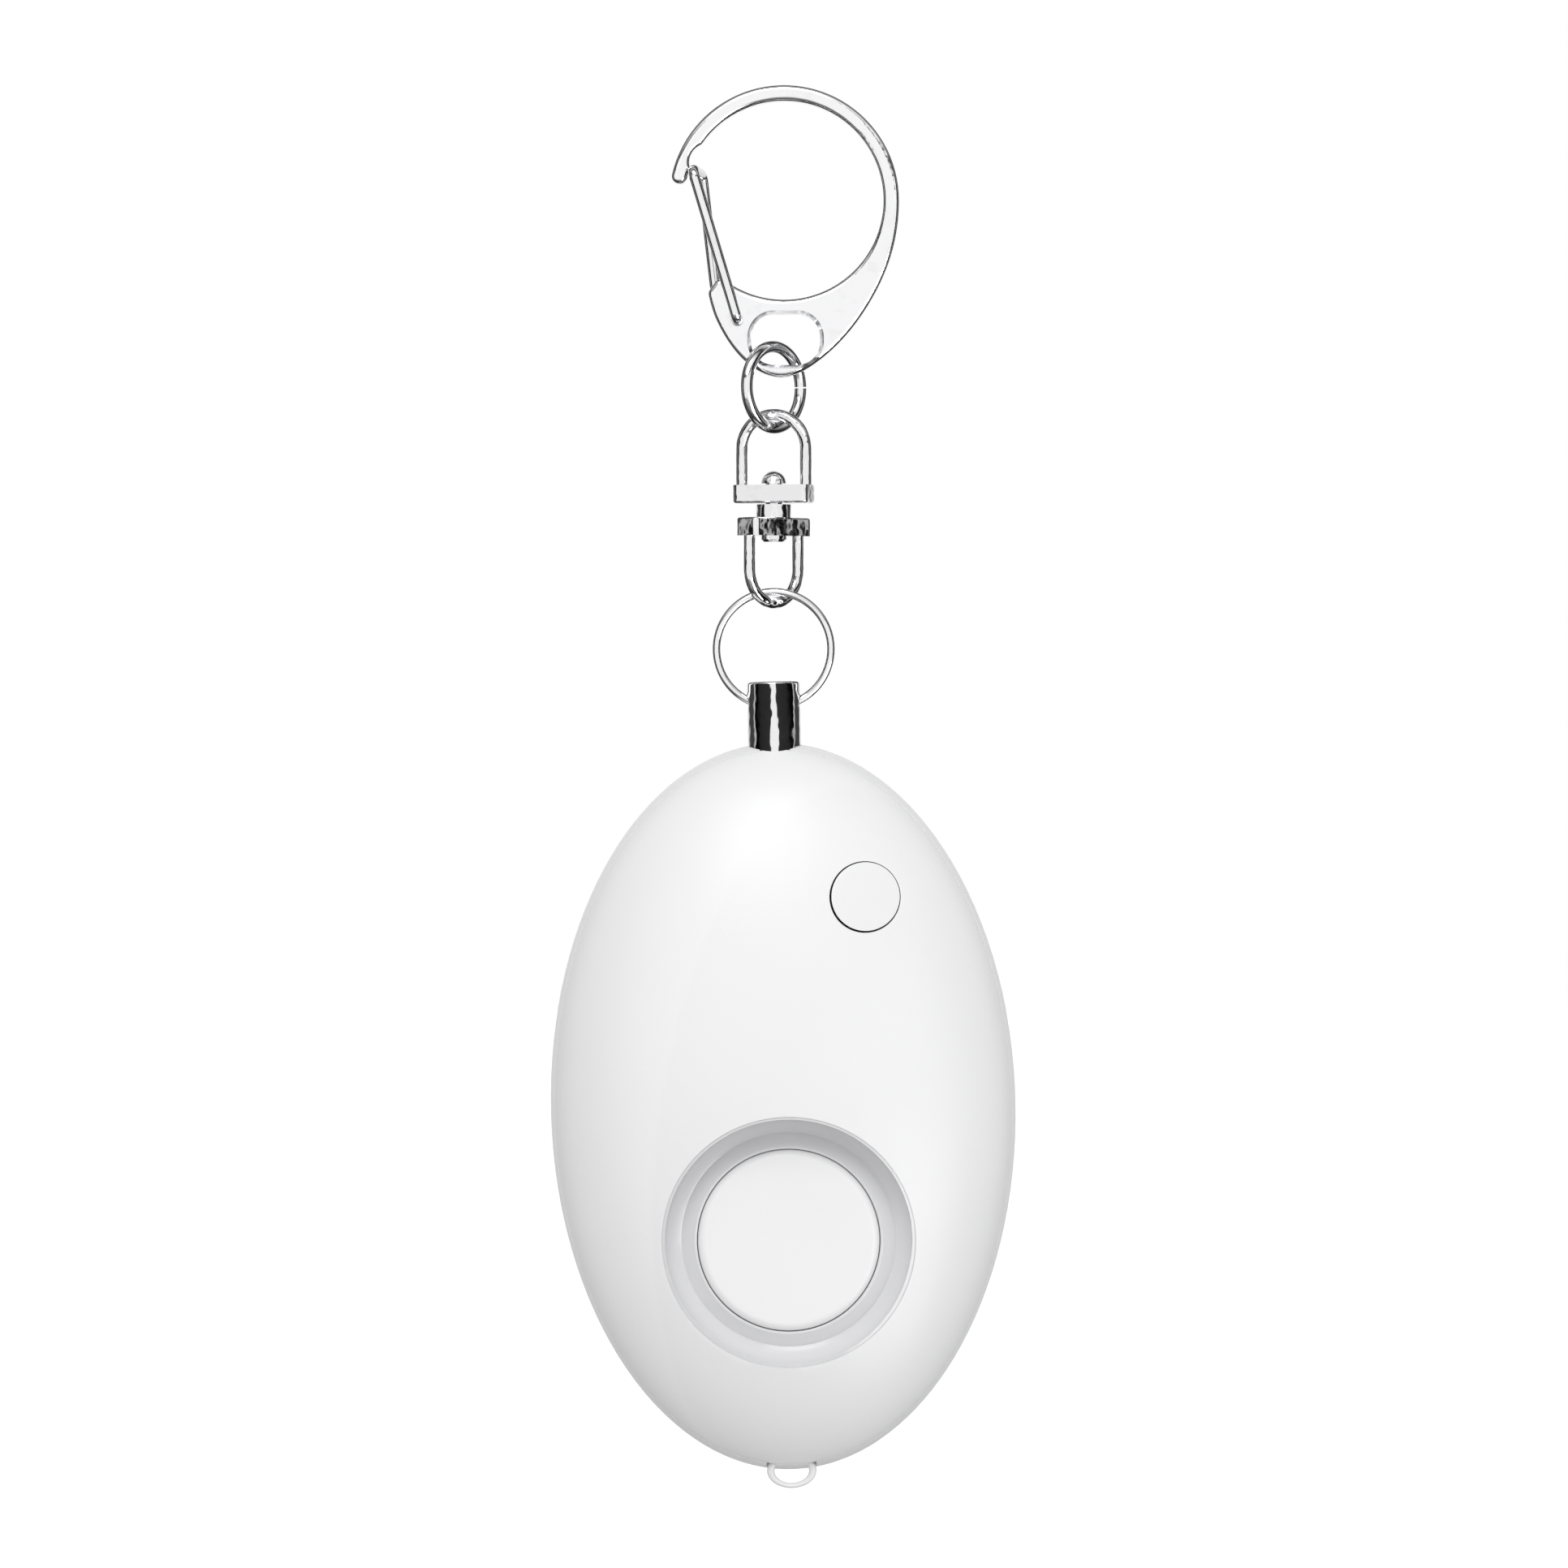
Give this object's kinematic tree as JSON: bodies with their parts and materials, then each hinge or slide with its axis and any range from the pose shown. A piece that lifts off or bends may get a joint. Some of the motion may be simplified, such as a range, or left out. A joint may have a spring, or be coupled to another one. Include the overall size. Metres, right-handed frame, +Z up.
{
  "type": "personal safety alarm",
  "caption": "Egg-shaped pocket alarm with a sunken sounder and a push button, on a pull pin that hangs from a ring, a swivel and a wire-gate clasp.",
  "frame": {"origin": "hang point: inside top of the clasp's ring, in the middle of its thickness", "axes": "+Z up, the way the alarm hangs; +X to the right seen from the front; -Y is the front with the sounder and the button"},
  "size_m": [0.0384, 0.0179, 0.1158],
  "materials": {
    "clasp_plating": "bright nickel plate on cast zinc",
    "wire_plating": "bright nickel plated steel wire",
    "collar_plating": "polished chrome",
    "shell_white": "satin white ABS",
    "button_white": "satin white ABS",
    "dish_white": "semi-gloss white ABS",
    "cap_white": "satin white ABS",
    "inner_white": "white acetal",
    "board_green": "green solder mask",
    "component_black": "black moulded epoxy",
    "component_grey": "grey ceramic",
    "coil_dark": "enamelled copper winding on a ferrite drum",
    "contact_brass": "sheet brass",
    "contact_steel": "nickel plated spring steel",
    "cell_steel": "nickel plated steel can",
    "ceramic_white": "silvered ceramic",
    "screw_steel": "zinc plated steel"
  },
  "bodies": {
    "clasp": {"clasp_frame": "clasp_plating"},
    "gate": {"gate_wire": "wire_plating"},
    "link": {"jump_link": "wire_plating"},
    "upper_loop": {"swivel_upper": "clasp_plating"},
    "lower_loop": {"swivel_lower": "clasp_plating", "swivel_rivet": "wire_plating"},
    "ring": {"pull_ring": "wire_plating"},
    "pull_pin": {"pin_collar": "collar_plating", "pin_plug": "inner_white"},
    "alarm": {"front_shell": "shell_white", "back_shell": "shell_white", "sounder_dish": "dish_white", "sounder_cap": "cap_white", "piezo_plate": "contact_brass", "piezo_ceramic": "ceramic_white", "switch_body": "component_black", "circuit_board": "board_green", "boost_coil": "coil_dark", "control_chip": "component_black", "transistor": "component_black", "board_resistors": "component_grey", "pin_socket": "inner_white", "contact_spring_left": "contact_brass", "contact_spring_right": "contact_brass", "button_cell_1": "cell_steel", "button_cell_2": "cell_steel", "button_cell_3": "cell_steel", "cell_contact_positive": "contact_steel", "cell_contact_negative": "contact_steel", "battery_cover": "shell_white", "cover_screw": "screw_steel", "shell_screws": "screw_steel", "lanyard_loop": "shell_white"},
    "button": {"button_cap": "button_white", "switch_plunger": "inner_white"}
  },
  "joints": [
    {"name": "gate_hinge", "type": "hinge", "parent": "clasp", "child": "gate", "pos_m": [-0.00385, 0, -0.0181], "axis": [0, 1, 0], "range_deg": [0, 30], "stiffness_Nm_per_rad": 0.002, "springref_deg": -17.19},
    {"name": "link_swing", "type": "hinge", "parent": "clasp", "child": "link", "pos_m": [-0.00085, 0, -0.0223], "axis": [1, 0, 0], "range_deg": [-12, 50]},
    {"name": "swivel_swing", "type": "hinge", "parent": "link", "child": "upper_loop", "pos_m": [-0.00085, 0, -0.02695], "axis": [-0.6613, -0.7501, 0], "range_deg": [-35, 35]},
    {"name": "swivel_spin", "type": "hinge", "parent": "upper_loop", "child": "lower_loop", "pos_m": [-0.00085, 0, -0.0338], "axis": [0, 0, 1], "continuous": true},
    {"name": "ring_swing", "type": "hinge", "parent": "lower_loop", "child": "ring", "pos_m": [-0.00085, 0, -0.0414], "axis": [0.7193, 0.6947, 0], "range_deg": [-35, 35]},
    {"name": "pin_swing", "type": "hinge", "parent": "ring", "child": "pull_pin", "pos_m": [-0.00085, 0, -0.04968], "axis": [-0.9997, 0, -0.0236], "range_deg": [-70, 70]},
    {"name": "pin_pull", "type": "slide", "parent": "pull_pin", "child": "alarm", "axis": [0.0236, 0, -0.9997], "range_m": [0, 0.018]},
    {"name": "button_press", "type": "slide", "parent": "alarm", "child": "button", "axis": [0, 1, 0], "range_m": [0, 0.0004], "stiffness_N_per_m": 1000, "springref_m": -0.0005}
  ]
}
